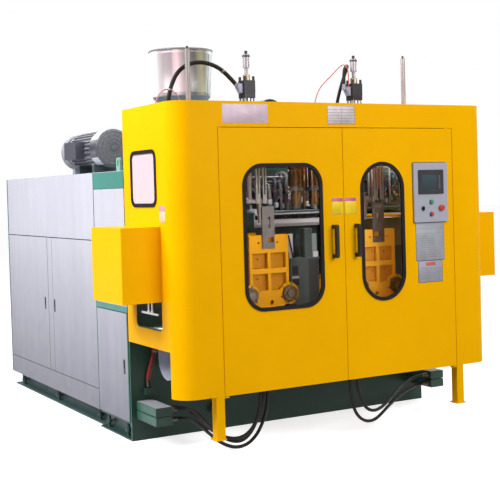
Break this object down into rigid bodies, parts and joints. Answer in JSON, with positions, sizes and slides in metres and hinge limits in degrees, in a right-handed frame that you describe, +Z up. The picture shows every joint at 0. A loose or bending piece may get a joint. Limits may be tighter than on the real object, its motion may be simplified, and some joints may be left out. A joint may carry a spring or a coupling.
{
  "type": "blow moulding machine",
  "caption": "Free-standing extrusion blow moulding machine with a yellow safety cover, windowed front doors, control panel, steel hopper, and grey cabinets on a green base.",
  "frame": {"origin": "on the floor, under the middle of the machine's length and width", "axes": "+X towards the side with the control panel, -Y the front with the doors, +Z up"},
  "size_m": [2.975, 3.501, 2.882],
  "materials": {
    "yellow_paint": "gloss",
    "grey_paint": "satin",
    "green_paint": "satin",
    "blue_paint": "satin",
    "black_rubber": "matte",
    "red_rubber": "satin",
    "orange_tube": "gloss",
    "pink_tube": "gloss",
    "clear_pane": "clear",
    "chrome": "polished",
    "steel": "brushed",
    "black_metal": "satin",
    "brass": "satin",
    "black_plastic": "matte",
    "green_plastic": "gloss",
    "red_plastic": "gloss"
  },
  "bodies": {
    "machine": {"front_fascia": "yellow_paint", "side_panels": "yellow_paint", "side_boxes": "yellow_paint", "cover_frame": "yellow_paint", "cabinet_panels": "grey_paint", "discharge_chute": "grey_paint", "belt_guard": "grey_paint", "front_base": "green_paint", "rear_skid": "green_paint", "cabinet_frame": "green_paint", "gearbox": "green_paint", "valve_blocks": "green_paint", "drive_motor": "blue_paint", "side_window_seals": "black_rubber", "left_hose_upper": "black_rubber", "left_hose_middle": "black_rubber", "left_hose_lower": "black_rubber", "right_hose_outer": "black_rubber", "right_hose_inner": "black_rubber", "left_top_hose": "black_rubber", "right_top_hose": "black_rubber", "red_air_hose": "red_rubber", "orange_air_tube": "orange_tube", "pink_air_tube": "pink_tube", "side_window_panes": "clear_pane", "guide_bars": "chrome", "hopper": "steel", "barrel_cover": "steel", "extruder_barrel": "steel", "die_head": "steel", "outer_cylinders": "steel", "blow_cylinders": "black_metal", "heater_bands": "brass"},
    "left_door": {"left_door": "yellow_paint", "left_window_seal": "black_rubber", "left_window_pane": "clear_pane", "left_door_handle": "black_metal"},
    "right_door": {"right_door": "yellow_paint", "right_window_seal": "black_rubber", "right_window_pane": "clear_pane", "right_door_handle": "black_metal", "control_panel": "grey_paint", "touch_screen": "black_plastic"},
    "green_button": {"green_button": "green_plastic"},
    "red_button": {"red_button": "red_plastic"},
    "stop_button": {"stop_button": "red_plastic"},
    "selector_switch": {"selector_switch": "black_plastic"},
    "narrow_cabinet_door": {"narrow_cabinet_door": "grey_paint"},
    "rear_cabinet_door_front": {"rear_cabinet_door_front": "grey_paint"},
    "rear_cabinet_door_back": {"rear_cabinet_door_back": "grey_paint"},
    "left_carriage": {"left_carriage": "green_paint"},
    "right_carriage": {"right_carriage": "green_paint"},
    "left_front_platen": {"left_front_platen": "yellow_paint"},
    "left_rear_platen": {"left_rear_platen": "yellow_paint"},
    "right_front_platen": {"right_front_platen": "yellow_paint"},
    "right_rear_platen": {"right_rear_platen": "yellow_paint"},
    "left_blow_pin": {"left_blow_pin": "chrome"},
    "right_blow_pin": {"right_blow_pin": "chrome"},
    "left_outer_rod": {"left_outer_rod": "chrome"},
    "right_outer_rod": {"right_outer_rod": "chrome"}
  },
  "joints": [
    {"name": "left_door_hinge", "type": "hinge", "parent": "machine", "child": "left_door", "pos_m": [-0.909, -1.6875, 1.212], "axis": [0, 0, -1], "range_deg": [0, 100]},
    {"name": "right_door_hinge", "type": "hinge", "parent": "machine", "child": "right_door", "pos_m": [0.909, -1.6875, 1.212], "axis": [0, 0, 1], "range_deg": [0, 100]},
    {"name": "narrow_cabinet_hinge", "type": "hinge", "parent": "machine", "child": "narrow_cabinet_door", "pos_m": [-1.2135, -0.3705, 0.49], "axis": [0, 0, -1], "range_deg": [0, 90]},
    {"name": "rear_cabinet_front_hinge", "type": "hinge", "parent": "machine", "child": "rear_cabinet_door_front", "pos_m": [-1.2135, -0.3505, 0.797], "axis": [0, 0, 1], "range_deg": [0, 90]},
    {"name": "rear_cabinet_back_hinge", "type": "hinge", "parent": "machine", "child": "rear_cabinet_door_back", "pos_m": [-1.2135, 1.7175, 0.797], "axis": [0, 0, -1], "range_deg": [0, 110]},
    {"name": "green_button_press", "type": "slide", "parent": "right_door", "child": "green_button", "axis": [0, 1, 0], "range_m": [0, 0.004], "stiffness_N_per_m": 500},
    {"name": "red_button_press", "type": "slide", "parent": "right_door", "child": "red_button", "axis": [0, 1, 0], "range_m": [0, 0.004], "stiffness_N_per_m": 500},
    {"name": "stop_button_press", "type": "slide", "parent": "right_door", "child": "stop_button", "axis": [0, 1, 0], "range_m": [0, 0.005], "stiffness_N_per_m": 700},
    {"name": "selector_turn", "type": "hinge", "parent": "right_door", "child": "selector_switch", "pos_m": [0.641, -1.7155, 1.492], "axis": [0, 1, 0], "range_deg": [-45, 45]},
    {"name": "left_carriage_slide", "type": "slide", "parent": "machine", "child": "left_carriage", "axis": [1, 0, 0], "range_m": [-0.438, 0.438]},
    {"name": "right_carriage_slide", "type": "slide", "parent": "machine", "child": "right_carriage", "axis": [1, 0, 0], "range_m": [-0.438, 0.438]},
    {"name": "left_front_platen_slide", "type": "slide", "parent": "left_carriage", "child": "left_front_platen", "axis": [0, 1, 0], "range_m": [0, 0.1]},
    {"name": "left_rear_platen_slide", "type": "slide", "parent": "left_carriage", "child": "left_rear_platen", "axis": [0, 1, 0], "range_m": [-0.1, 0]},
    {"name": "right_front_platen_slide", "type": "slide", "parent": "right_carriage", "child": "right_front_platen", "axis": [0, 1, 0], "range_m": [0, 0.1]},
    {"name": "right_rear_platen_slide", "type": "slide", "parent": "right_carriage", "child": "right_rear_platen", "axis": [0, 1, 0], "range_m": [-0.1, 0]},
    {"name": "left_blow_stroke", "type": "slide", "parent": "machine", "child": "left_blow_pin", "axis": [0, 0, 1], "range_m": [-0.045, 0.15]},
    {"name": "right_blow_stroke", "type": "slide", "parent": "machine", "child": "right_blow_pin", "axis": [0, 0, 1], "range_m": [-0.045, 0.15]},
    {"name": "left_outer_stroke", "type": "slide", "parent": "machine", "child": "left_outer_rod", "axis": [0, 0, 1], "range_m": [-0.15, 0]},
    {"name": "right_outer_stroke", "type": "slide", "parent": "machine", "child": "right_outer_rod", "axis": [0, 0, 1], "range_m": [-0.15, 0]}
  ],
  "couplings": [
    {"joint": "right_carriage_slide", "follows": "left_carriage_slide", "ratio": 1},
    {"joint": "left_rear_platen_slide", "follows": "left_front_platen_slide", "ratio": -1},
    {"joint": "right_rear_platen_slide", "follows": "right_front_platen_slide", "ratio": -1}
  ]
}
